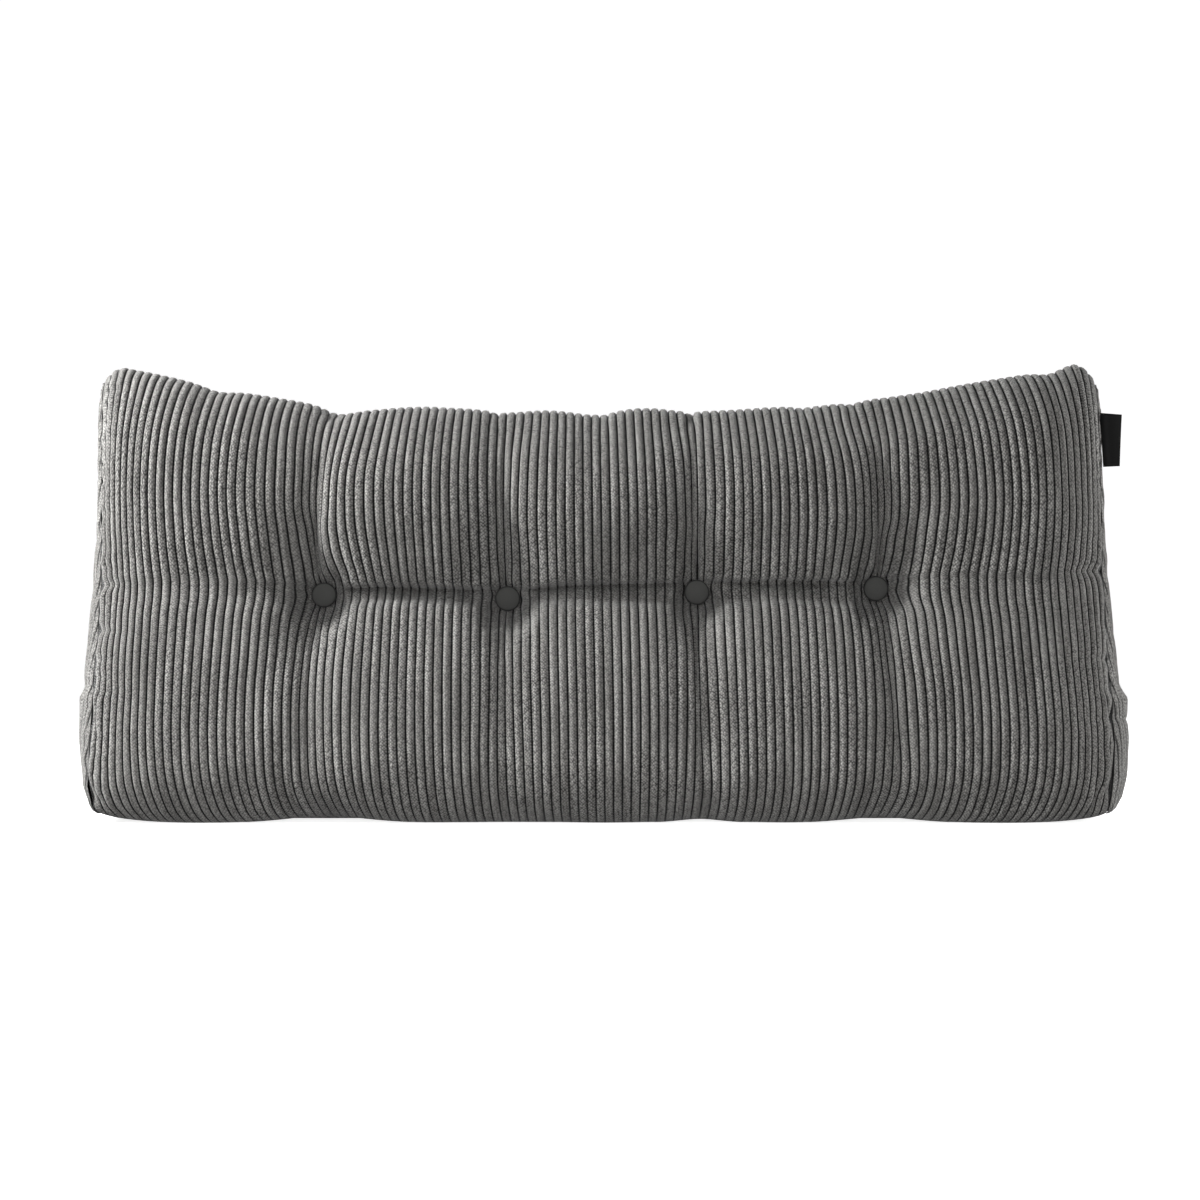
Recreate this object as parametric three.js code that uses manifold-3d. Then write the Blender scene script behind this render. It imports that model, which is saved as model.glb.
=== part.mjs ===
// Headboard wedge pillow: a long, filled wedge that stands on its own flat base.
// One length of wide-ribbed corduroy wraps the front, the top, the back and the base, a panel of the same
// corduroy closes each side, and four covered buttons in a tuck divide the front into two long lobes.
// Millimetres, +X to the right, +Y to the back, +Z up. The origin is the middle of the footprint, at the
// height of the floor.

import * as THREE from "three";
import { mergeVertices } from "three/addons/utils/BufferGeometryUtils.js";
import Module from "manifold-3d";

const wasm = await Module();
wasm.setup();

// Corduroy
const WALE_PITCH = 9.85;
const WALES = 118;
const WALE_HEIGHT = 2.4;
const PANEL_WALE_HEIGHT = 2.0;
const CLOTH_THICKNESS = 2.2;
const HALF_CLOTH = (WALES * WALE_PITCH) / 2;

// How the wrap is shaped from side to side. Distances are measured along the cloth, from its middle.
const TUCK_END = 335; // the sewn tuck runs this far to each side
const TUCK_FADE = 110; // and then fades into a soft hollow
const EDGE_START = 450; // the crown starts to round off to the side seam
const SQUEEZE_START = 470; // the outer wales start to crowd together
const EDGE_GROWTH = 2.8;
const EDGE_POWER = 0.7;
const DRAW_MIDDLE = 365; // the outer buttons draw the cloth beyond them in, most of all here
const DRAW_REACH = 85;
const TUCK_RISE = 5; // the tuck sits this much higher at the right outer button, and lower at the left one
const DIP_POWER = 1.5; // how sharply a button draws the cloth in
const LEAN = -4.5; // the top sits this far to the left of the base
const LEAN_FROM = 100; // height of the widest point, where there is no lean
const TOP_HEIGHT = 452; // the middle of the top edge

// The top edge rises to a soft peak near each corner, then drops to the side seam.
const EARS = {
  left: { start: 300, height: 47, drop: 18 },
  right: { start: 245, height: 50, drop: 23 },
};
const EAR_PEAK = 554;

// Small sags along the top edge
const TOP_SAGS = [
  { at: -300, drop: 3, width: 30 },
  { at: -108, drop: 4, width: 30 },
  { at: -4, drop: 6, width: 34 },
  { at: 100, drop: 2, width: 26 },
  { at: 228, drop: -4, width: 60 },
  { at: -205, drop: -3, width: 45 },
  { at: -444, drop: 4, width: 22 },
  { at: 525, drop: 5, width: 18 },
];

// The distance of each side seam from the middle, by height
const LEFT_SEAM = [
  { z: 6, x: 541 },
  { z: 17, x: 550 },
  { z: 40, x: 555 },
  { z: 90, x: 552.5 },
  { z: 160, x: 551 },
  { z: 187, x: 549 },
  { z: 245, x: 547.5 },
  { z: 370, x: 549.5 },
  { z: 480, x: 553.5 },
];
const RIGHT_SEAM = [
  { z: 6, x: 538 },
  { z: 25, x: 542.5 },
  { z: 54, x: 546.5 },
  { z: 88, x: 548.5 },
  { z: 132, x: 548.5 },
  { z: 167, x: 546 },
  { z: 245, x: 547 },
  { z: 370, x: 550 },
  { z: 480, x: 554 },
];

// One row for each line that runs across the wrap, from the foot of the front over the top to the foot of
// the back. y, z: halfway between two buttons. softY, softZ: outside the outer buttons. endY, endZ: at the
// side seam. dipY, dipZ, dipWidth: how far a button draws the line in and up, and how far that spreads.
// pinch: how far a button draws the wales beside it together. draw: how far the outer buttons draw the cloth
// beyond them in. span: width over the cloth's own width. ear: share of the rise of the top corners.
// rib: share of the wales' height. tuck: share of the tuck's rise.
const COLUMNS =
  "y z softY softZ endY endZ dipY dipZ dipWidth pinch draw span ear rib tuck".split(" ");
const LINE_ROWS = {
  frontBase: [-52, 0, -52, 0, -50, 9, 0, 0, 40, 0, 0, 0.93, 0, 0, 0],
  frontFoot: [-84, 0, -84, 0, -82, 11, 4, 3, 45, 0, 0, 0.932, 0, 0, 0],
  bottomRoll: [-104, 12, -101, 12, -88, 26, 6, 4, 42, 0, 0, 0.95, 0, 0.9, 0],
  lowerFront: [-115, 38, -112, 40, -86, 58, 6, 0, 40, 0, 0, 0.967, 0, 1, 0],
  lowerCrown: [-108, 84, -105, 86, -77, 102, 8, 0, 38, 0, 0, 0.976, 0, 1, 0],
  lowerUpper: [-96, 134, -93.5, 136, -62, 150, 12, 0, 36, 2, 0, 0.976, 0, 1, 0],
  lowerShoulder: [-78, 182, -81, 182, -48, 194, 20, 0, 34, 4, 3, 0.974, 0, 1, 0.1],
  lip: [-47, 227, -67, 223, -35, 229, 47, -1, 26, 6, 6, 0.972, 0, 1, 0.2],
  stripEdge: [-32, 238.5, -60, 238, -29, 244, 36, 0, 24, 7, 8, 0.97, 0, 0.5, 0.3],
  tuckRoot: [-17, 255, -51.5, 257, -24, 259, 22, 1, 24, 7, 9, 0.97, 0, 0.5, 1],
  hem: [-40, 262, -50, 271, -20, 275, 38, 2, 25, 7, 8, 0.972, 0, 0.9, 1],
  upperLow: [-45.5, 290, -45.5, 302, -10, 310, 31, 4, 34, 5, 3, 0.98, 0.05, 1, 0.6],
  upperCrown: [-44, 335, -36, 347, 5, 355, 15, 0, 36, 3, 0, 0.988, 0.3, 1, 0.1],
  upperShoulder: [-30, 388, -18, 396, 24, 400, 8, 0, 38, 1, 0, 0.983, 0.7, 1, 0],
  topFront: [12, 434, 16, 436, 43, 438, 5, -2, 38, 0, 0, 0.967, 0.95, 1, 0],
  topRidge: [46, TOP_HEIGHT, 48, TOP_HEIGHT, 62, 453, 0, 0, 34, 0, 0, 0.958, 1, 1, 0],
  topBack: [82, 445, 82, 445, 85, 446, 0, 0, 34, 0, 0, 0.96, 1, 1, 0],
  backHigh: [105, 405, 103, 405, 96, 405, 0, 0, 40, 0, 0, 0.965, 0.9, 1, 0],
  backUpper: [114, 300, 111, 300, 99, 300, 0, 0, 40, 0, 0, 0.982, 0.3, 1, 0],
  backLower: [115, 170, 112, 170, 100, 170, 0, 0, 40, 0, 0, 0.982, 0, 1, 0],
  backLow: [109, 50, 107, 50, 97, 54, 0, 0, 40, 0, 0, 0.965, 0, 1, 0],
  backFoot: [90, 0, 90, 0, 85, 11, 0, 0, 40, 0, 0, 0.935, 0, 0, 0],
};
const LINES = Object.values(LINE_ROWS).map((row) =>
  Object.fromEntries(COLUMNS.map((column, i) => [column, row[i]])),
);

// Covered buttons, from left to right. x and z are the middle of each button, and along is its place on the
// cloth, measured like s.
const BUTTONS = [
  { name: "button_far_left", x: -308, z: 245, along: -326 },
  { name: "button_mid_left", x: -106, z: 241, along: -109 },
  { name: "button_mid_right", x: 102, z: 248, along: 108 },
  { name: "button_far_right", x: 299, z: 252, along: 320 },
];
const BUTTON_RADIUS = 14;
const BUTTON_EDGE = 3.4; // height of its straight side
const BUTTON_DOME = 4.6; // height of the dome above that
const BUTTON_SEAT_Y = 2; // the plane that each button's back is drawn in to
const BUTTON_SIDES = 28;
const BUTTON_HOLLOW = 60; // length of the cutter, forward from the seat

// How far the filling pushes the middle of each side panel out, by height. A fold crosses both above z = 130.
// From front to back a panel is a low arch, and the power shapes it.
const BULGE_POWER = 0.8;
const PANEL_BULGES = [
  { z: 4, left: 0, right: 0 },
  { z: 14, left: 6, right: 16 },
  { z: 26, left: 10, right: 21 },
  { z: 44, left: 13, right: 24 },
  { z: 90, left: 21, right: 25 },
  { z: 131, left: 22, right: 25 },
  { z: 140, left: 18.5, right: 20.5 },
  { z: 150, left: 17.5, right: 18 },
  { z: 180, left: 17.5, right: 17 },
  { z: 220, left: 16, right: 13.5 },
  { z: 270, left: 13, right: 10 },
  { z: 330, left: 7.5, right: 5 },
  { z: 390, left: 6.5, right: 3.5 },
  { z: 440, left: 5.5, right: 2.5 },
  { z: 480, left: 1, right: 1 },
];
const SEAM_RIM = 0.8; // the filled body stands this far past the wrap's last stitch line
const GAP = 0.3;

// Side tab: a blank folded loop of tape, sewn into the right front seam
const TAB_LOW_Z = 386;
const TAB_HIGH_Z = 448;
const TAB_LOW_WIDTH = 17;
const TAB_HIGH_WIDTH = 23;
const TAB_SKEW = 1; // its lower outer corner is this much higher than its lower root
const TAB_THICKNESS = 1.6;
const TAB_INSET = 3; // from the panel's front edge

// For the cutting solids: beyond the part, inside it, and a clear overrun
const OUTSIDE_X = 640;
const INSIDE_X = 470;
const OVERRUN = 10;
const CAP_HUB = { y: 30, z: 200 }; // middle of the flat caps that are cut away
const WELD = 1e-4;

const clamp01 = (value) => Math.min(1, Math.max(0, value));
const mix = (a, b, share) => a + (b - a) * share;
const smooth = (value) => {
  const q = clamp01(value);
  return q * q * (3 - 2 * q);
};

// Straight-line look-up in a table of steps.
function stepped(steps, key, value, at) {
  const last = steps.length - 1;
  if (at <= steps[0][key]) return steps[0][value];
  for (let i = 0; i < last; i++) {
    const a = steps[i];
    const b = steps[i + 1];
    if (at <= b[key]) return mix(a[value], b[value], (at - a[key]) / (b[key] - a[key]));
  }
  return steps[last][value];
}

const seamX = (side, z) => stepped(side < 0 ? LEFT_SEAM : RIGHT_SEAM, "z", "x", z);
const leanAt = (z) => (LEAN * (z - LEAN_FROM)) / (TOP_HEIGHT - LEAN_FROM);
const bump = (offset) => Math.exp(-offset * offset);

// Rise of the top edge towards its two corners, with its small sags.
function topRise(s) {
  const distance = Math.abs(s);
  const ear = s < 0 ? EARS.left : EARS.right;
  const climb = clamp01((distance - ear.start) / (EAR_PEAK - ear.start));
  const corner = clamp01((distance - EAR_PEAK) / (HALF_CLOTH - EAR_PEAK));
  let rise = ear.height * climb - ear.drop * corner * corner;
  for (const sag of TOP_SAGS) rise -= sag.drop * bump((s - sag.at) / sag.width);
  return rise;
}

// A point of the smooth cloth, without its wales: line is a row of the table, s the distance along the cloth.
function clothPoint(line, s) {
  const distance = Math.abs(s);
  const soft = smooth((distance - TUCK_END) / TUCK_FADE);
  const edge = clamp01((distance - EDGE_START) / (HALF_CLOTH - EDGE_START));
  const rounded = 1 - (1 - edge ** EDGE_GROWTH) ** EDGE_POWER;
  let y = mix(mix(line.y, line.softY, soft), line.endY, rounded);
  let z = mix(mix(line.z, line.softZ, soft), line.endZ, rounded);
  z += line.ear * topRise(s);
  z += line.tuck * TUCK_RISE * (s / TUCK_END) * (1 - soft);
  const squeeze = clamp01((distance - SQUEEZE_START) / (HALF_CLOTH - SQUEEZE_START)) ** 2;
  let x = s * line.span;
  for (const button of BUTTONS) {
    const offset = (s - button.along) / line.dipWidth;
    const near = Math.exp(-(Math.abs(offset) ** DIP_POWER));
    y += line.dipY * near;
    z += line.dipZ * near;
    x -= line.pinch * offset * near;
  }
  x -= Math.sign(s) * line.draw * bump((distance - DRAW_MIDDLE) / DRAW_REACH);
  x -= Math.sign(s) * squeeze * (HALF_CLOTH * line.span - seamX(s, z));
  return new THREE.Vector3(x + leanAt(z), y, z);
}

// A closed mesh as a solid, and a solid as a geometry
function solidOf(positions, triangles) {
  const geometry = new THREE.BufferGeometry()
    .setAttribute("position", new THREE.Float32BufferAttribute(positions, 3))
    .setIndex(triangles);
  return solidOfGeometry(geometry);
}

function solidOfGeometry(geometry) {
  const bare = geometry.clone();
  bare.deleteAttribute("normal");
  bare.deleteAttribute("uv");
  const merged = mergeVertices(bare, WELD);
  return new wasm.Manifold(
    new wasm.Mesh({
      numProp: 3,
      vertProperties: merged.attributes.position.array,
      triVerts: new Uint32Array(merged.index.array),
    }),
  );
}

function geometryOf(solid) {
  const mesh = solid.getMesh();
  return new THREE.BufferGeometry()
    .setAttribute("position", new THREE.BufferAttribute(mesh.vertProperties, 3))
    .setIndex(new THREE.BufferAttribute(mesh.triVerts, 1));
}

// Two triangles for each cell of a grid of points, rows by columns.
function gridTriangles(start, rows, columns, flip) {
  const triangles = [];
  for (let r = 0; r + 1 < rows; r++) {
    for (let c = 0; c + 1 < columns; c++) {
      const a = start + r * columns + c;
      const opposite = a + 1 + columns;
      const [before, after] = flip ? [a + columns, a + 1] : [a + 1, a + columns];
      triangles.push(a, before, opposite, a, opposite, after);
    }
  }
  return triangles;
}

// The filled body: the wrap's loop of lines, two columns to a wale, run on past each side seam and capped
// there. The side faces are cut to shape afterwards.
function wrapBody() {
  const columns = 2 * WALES + 1;
  const step = WALE_PITCH / 2;
  const count = LINES.length;
  const positions = [];
  const place = (r, c) => clothPoint(LINES[(r + count) % count], c * step - HALF_CLOTH);
  for (let r = 0; r <= count; r++) {
    const line = LINES[r % count];
    const ring = [];
    for (let c = 0; c < columns; c++) {
      const point = place(r, c);
      const across = place(r, Math.min(c + 1, columns - 1)).sub(place(r, Math.max(c - 1, 0)));
      const along = place(r + 1, c).sub(place(r - 1, c));
      const outward = across.cross(along).normalize();
      const seam = c === 0 || c === columns - 1;
      const side = c % 2 === 1 ? 1 : -1;
      const height = seam ? 0 : (side * line.rib * WALE_HEIGHT) / 2;
      ring.push(point.addScaledVector(outward, height));
    }
    const first = ring[0].clone().setX(-OUTSIDE_X);
    const last = ring[columns - 1].clone().setX(OUTSIDE_X);
    for (const point of [first, ...ring, last]) positions.push(point.x, point.y, point.z);
  }
  const width = columns + 2;
  const triangles = gridTriangles(0, count + 1, width, false);
  for (const end of [0, width - 1]) {
    const hub = positions.length / 3;
    positions.push(end ? OUTSIDE_X : -OUTSIDE_X, CAP_HUB.y, CAP_HUB.z);
    for (let r = 0; r < count; r++) {
      const a = r * width + end;
      const b = a + width;
      if (end) triangles.push(hub, b, a);
      else triangles.push(hub, a, b);
    }
  }
  return solidOf(positions, triangles);
}

// A block with one shaped face: it fills from x = from to x = face(y, z), on the grid of the given lines.
function shapedBlock(side, ys, zs, from, face) {
  const positions = [];
  for (const layer of [face, () => from]) {
    for (const z of zs) {
      for (const y of ys) positions.push(side * layer(y, z), y, z);
    }
  }
  const columns = ys.length;
  const rows = zs.length;
  const back = rows * columns;
  const flip = side < 0;
  const triangles = [
    ...gridTriangles(0, rows, columns, flip),
    ...gridTriangles(back, rows, columns, !flip),
  ];
  const wall = (a, b) => {
    const corners = flip ? [b, a, a + back, b + back] : [a, b, b + back, a + back];
    const [p, q, t, u] = corners;
    triangles.push(p, u, t, p, t, q);
  };
  for (let c = 0; c + 1 < columns; c++) {
    wall(c, c + 1);
    wall(back - c - 1, back - c - 2);
  }
  for (let r = 0; r + 1 < rows; r++) {
    wall((r + 1) * columns, r * columns);
    wall((r + 1) * columns - 1, (r + 2) * columns - 1);
  }
  return solidOf(positions, triangles);
}

const spread = (low, high, steps) =>
  Array.from({ length: steps + 1 }, (_, i) => mix(low, high, i / steps));

// The outline of a side panel, in y and z, with the depth of the wedge at any height
const outline = LINES.map((line) => clothPoint(line, HALF_CLOTH));
function depthAt(z) {
  const crossings = [];
  outline.forEach((a, i) => {
    const b = outline[(i + 1) % outline.length];
    if (a.z !== b.z && (a.z - z) * (b.z - z) <= 0) crossings.push(mix(a.y, b.y, (z - a.z) / (b.z - a.z)));
  });
  return crossings.length ? [Math.min(...crossings), Math.max(...crossings)] : [0, 0];
}

// How far the filling pushes a side panel out at a point of it.
function bulgeAt(side, y, z) {
  const [front, back] = depthAt(z);
  if (back - front < 1) return 0;
  const across = (2 * y - front - back) / (back - front);
  const middle = stepped(PANEL_BULGES, "z", side < 0 ? "left" : "right", z);
  return middle * clamp01(1 - across * across) ** BULGE_POWER;
}

const bodyFace = (side) => (y, z) =>
  seamX(side, z) + side * leanAt(z) + SEAM_RIM + bulgeAt(side, y, z);

// Side faces of the filled body, and the panel that covers each
const PANEL_REACH = 12 * WALE_PITCH;
const fineYs = spread(-PANEL_REACH, PANEL_REACH, 48);
const coarseYs = fineYs.filter((_, i) => i % 4 === 0);
const panelZs = [-20, 8, 20, 34, 52, 90, 131, 140, 150, 180, 220, 270, 330, 390, 440, 480, 520];

function cutSideFaces(body) {
  let cut = body;
  for (const side of [-1, 1]) {
    const inward = (y, z) => -bodyFace(side)(y, z);
    cut = cut.subtract(shapedBlock(-side, coarseYs, panelZs, -OUTSIDE_X - OVERRUN, inward));
  }
  return cut;
}

const panelInner = (side) => (y, z) => bodyFace(side)(y, z) + GAP;

// The ridged outer face of a side panel, on the fine grid
const panelOuter = (side) => (y, z) => {
  const ridge = Math.abs(Math.round(y / (WALE_PITCH / 2))) % 2 === 1;
  const under = stepped(coarseYs.map((at) => ({ y: at, x: panelInner(side)(at, z) })), "y", "x", y);
  return under + CLOTH_THICKNESS + (ridge ? 0.5 : -0.5) * PANEL_WALE_HEIGHT;
};

function sidePanel(side) {
  const filled = shapedBlock(side, fineYs, panelZs, INSIDE_X, panelOuter(side));
  const under = shapedBlock(side, coarseYs, panelZs, INSIDE_X - OVERRUN, panelInner(side));
  const shape = new THREE.Shape(outline.map((point) => new THREE.Vector2(point.y, point.z)));
  const prism = new THREE.ExtrudeGeometry(shape, { depth: OUTSIDE_X - INSIDE_X, bevelEnabled: false });
  prism.applyMatrix4(
    new THREE.Matrix4().makeBasis(
      new THREE.Vector3(0, 1, 0),
      new THREE.Vector3(0, 0, 1),
      new THREE.Vector3(1, 0, 0),
    ),
  );
  prism.translate(side > 0 ? INSIDE_X : -OUTSIDE_X, 0, 0);
  return filled.subtract(under).intersect(solidOfGeometry(prism));
}

// A covered button: a flat back, a short straight side and a low dome, turned about its own axis.
function buttonGeometry() {
  const points = [
    [0, 0],
    [BUTTON_RADIUS - 1, 0],
    [BUTTON_RADIUS, 1],
    [BUTTON_RADIUS, BUTTON_EDGE],
    [BUTTON_RADIUS * 0.93, BUTTON_EDGE + BUTTON_DOME * 0.38],
    [BUTTON_RADIUS * 0.72, BUTTON_EDGE + BUTTON_DOME * 0.7],
    [BUTTON_RADIUS * 0.4, BUTTON_EDGE + BUTTON_DOME * 0.93],
    [0, BUTTON_EDGE + BUTTON_DOME],
  ].map(([radius, height]) => new THREE.Vector2(radius, height));
  return new THREE.LatheGeometry(points, BUTTON_SIDES);
}

// The straight hollow that a button is drawn into
function buttonHollow(button) {
  const radius = BUTTON_RADIUS + GAP;
  const hollow = new THREE.CylinderGeometry(radius, radius, BUTTON_HOLLOW, BUTTON_SIDES);
  hollow.translate(button.x, BUTTON_SEAT_Y + GAP - BUTTON_HOLLOW / 2, button.z);
  return hollow;
}

// The tab follows the right front seam. Its root is cut to lie against the right panel.
function tabSolid() {
  const edgeY = (z) => depthAt(z)[0] + TAB_INSET;
  const rootX = (z) => bodyFace(1)(edgeY(z), z) + CLOTH_THICKNESS;
  const low = new THREE.Vector3(rootX(TAB_LOW_Z), edgeY(TAB_LOW_Z), TAB_LOW_Z);
  const high = new THREE.Vector3(rootX(TAB_HIGH_Z), edgeY(TAB_HIGH_Z), TAB_HIGH_Z);
  const up = high.clone().sub(low);
  const length = Math.hypot(up.y, up.z);
  const lean = high.x - low.x;
  const shape = new THREE.Shape([
    new THREE.Vector2(0, 0),
    new THREE.Vector2(TAB_LOW_WIDTH, TAB_SKEW),
    new THREE.Vector2(TAB_HIGH_WIDTH + lean, length),
    new THREE.Vector2(lean, length),
  ]);
  const tab = new THREE.ExtrudeGeometry(shape, { depth: TAB_THICKNESS, bevelEnabled: false });
  const sideways = new THREE.Vector3(1, 0, 0);
  const upward = new THREE.Vector3(0, up.y, up.z).normalize();
  const forward = sideways.clone().cross(upward);
  tab.applyMatrix4(new THREE.Matrix4().makeBasis(sideways, upward, forward));
  tab.translate(low.x, low.y, low.z);
  const panel = shapedBlock(1, fineYs, panelZs, INSIDE_X, (y, z) => panelOuter(1)(y, z) + GAP);
  return solidOfGeometry(tab).subtract(panel);
}

// Assembly
const corduroy = new THREE.MeshStandardMaterial({ color: 0x66645f, roughness: 0.95, metalness: 0 });
const panelCorduroy = new THREE.MeshStandardMaterial({ color: 0x5f5d59, roughness: 0.95, metalness: 0 });
const buttonCloth = new THREE.MeshStandardMaterial({ color: 0x444441, roughness: 0.85, metalness: 0 });
const tape = new THREE.MeshStandardMaterial({ color: 0x161616, roughness: 0.6, metalness: 0 });

const group = new THREE.Group();
function add(name, geometry, material) {
  const mesh = new THREE.Mesh(geometry, material);
  mesh.name = name;
  group.add(mesh);
  return mesh;
}

let body = cutSideFaces(wrapBody());
for (const button of BUTTONS) body = body.subtract(solidOfGeometry(buttonHollow(button)));
add("cushion_wrap", geometryOf(body), corduroy);
add("side_panel_left", geometryOf(sidePanel(-1)), panelCorduroy);
add("side_panel_right", geometryOf(sidePanel(1)), panelCorduroy);
for (const button of BUTTONS) {
  const mesh = add(button.name, buttonGeometry(), buttonCloth);
  mesh.rotation.x = Math.PI;
  mesh.position.set(button.x, BUTTON_SEAT_Y, button.z);
}
add("side_tab", geometryOf(tabSolid()), tape);

export default group;
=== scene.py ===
# Headboard wedge pillow: a long filled wedge in wide-ribbed corduroy that stands on its own flat base.
import math

import bmesh
import bpy
import numpy as np
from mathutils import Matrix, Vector


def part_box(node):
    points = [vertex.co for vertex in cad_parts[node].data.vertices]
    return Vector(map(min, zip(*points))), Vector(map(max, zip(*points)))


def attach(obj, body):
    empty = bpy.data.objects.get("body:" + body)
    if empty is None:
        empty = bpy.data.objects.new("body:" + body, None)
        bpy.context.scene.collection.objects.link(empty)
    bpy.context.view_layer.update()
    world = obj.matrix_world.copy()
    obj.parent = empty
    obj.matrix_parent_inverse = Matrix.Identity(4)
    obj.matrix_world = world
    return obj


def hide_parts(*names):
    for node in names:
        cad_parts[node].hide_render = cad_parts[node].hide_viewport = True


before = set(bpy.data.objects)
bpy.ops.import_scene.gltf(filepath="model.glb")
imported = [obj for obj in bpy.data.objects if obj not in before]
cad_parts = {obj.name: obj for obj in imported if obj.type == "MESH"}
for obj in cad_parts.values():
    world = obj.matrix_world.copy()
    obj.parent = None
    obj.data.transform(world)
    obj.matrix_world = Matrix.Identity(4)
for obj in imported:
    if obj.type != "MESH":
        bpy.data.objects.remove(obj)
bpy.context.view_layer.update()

# Cushion wrap: one length of corduroy sewn into a loop over its filling, up the front, over the top, down
# the back and under the base. A stitched tuck, held by four buttons, parts the front into two lobes. The
# shape is worked out in millimetres, as cloth is cut, and MM turns it into metres.
MM = 0.001
WALE_PITCH = 9.85
WALES = 118
WALE_HEIGHT = 3.6
HALF_CLOTH = WALES * WALE_PITCH / 2
WALE_COLUMNS = (0, 0.075, 0.23, 0.5, 0.77, 0.925)  # mesh columns across one wale, as shares of its pitch

TUCK_END = 316  # along the cloth, the tuck runs this far to each side of the middle
TUCK_FADE = 72  # and fades out over this distance
EDGE_START = 450  # the crown starts to round off to the side seams here
SQUEEZE_START = 470  # the outer wales start to crowd together here
EDGE_GROWTH = 2.8  # the larger it is, the later the crown rounds off
EDGE_POWER = 0.7  # the smaller it is, the steeper it ends at the seam
DRAW_MIDDLE = 365  # here the outer buttons draw the cloth beyond them in the most
DRAW_REACH = 85
DIP_POWER = 1.5  # how sharply a button draws the cloth in
LEAN = -4.5  # the top sits this far to the left of the base
LEAN_FROM = 100
TOP_HEIGHT = 452
# Where the top edge starts to rise to a corner, how far it rises, and how far it drops again to the seam
EARS = {"left": (300, 47, 18), "right": (245, 50, 23)}
EAR_PEAK = 554
# Small sags of the top edge: place along it, drop and width
TOP_SAGS = (
    (-300, 3, 30), (-108, 4, 30), (-4, 6, 34), (100, 2, 26),
    (228, -4, 60), (-205, -3, 45), (-444, 4, 22), (525, 5, 18),
)
# The side seams: heights, and the seam's distance from the middle at each
SEAM_LINES = {
    -1: ((6, 17, 40, 90, 160, 187, 245, 370, 480), (541, 550, 555, 552.5, 551, 549, 547.5, 549.5, 553.5)),
    1: ((6, 25, 54, 88, 132, 167, 245, 370, 480), (538, 542.5, 546.5, 548.5, 548.5, 546, 547, 550, 554)),
}
# Where the pull of the tuck and the sewing draws a seam in: height, reach and distance
SEAM_KINKS = {
    -1: ((256, 8, 2.0), (206, 6, 2.2), (304, 5, 1.6), (142, 5, 1.6)),
    1: ((271, 9, 2.6), (300, 6, 1.4), (176, 7, 1.6), (113, 6, 2.0)),
}
KINK_DEPTH = 22  # from front to back, a pull fades over this distance
TUCK_ALONG = (-480, -335, -250, -190, -90, -40, 50, 200, 335, 480)
TUCK_RISES = (-1, -3, -1, -4, -5, 0, 3, 5, 5, 3)  # how much higher the tuck lies at those places

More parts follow.
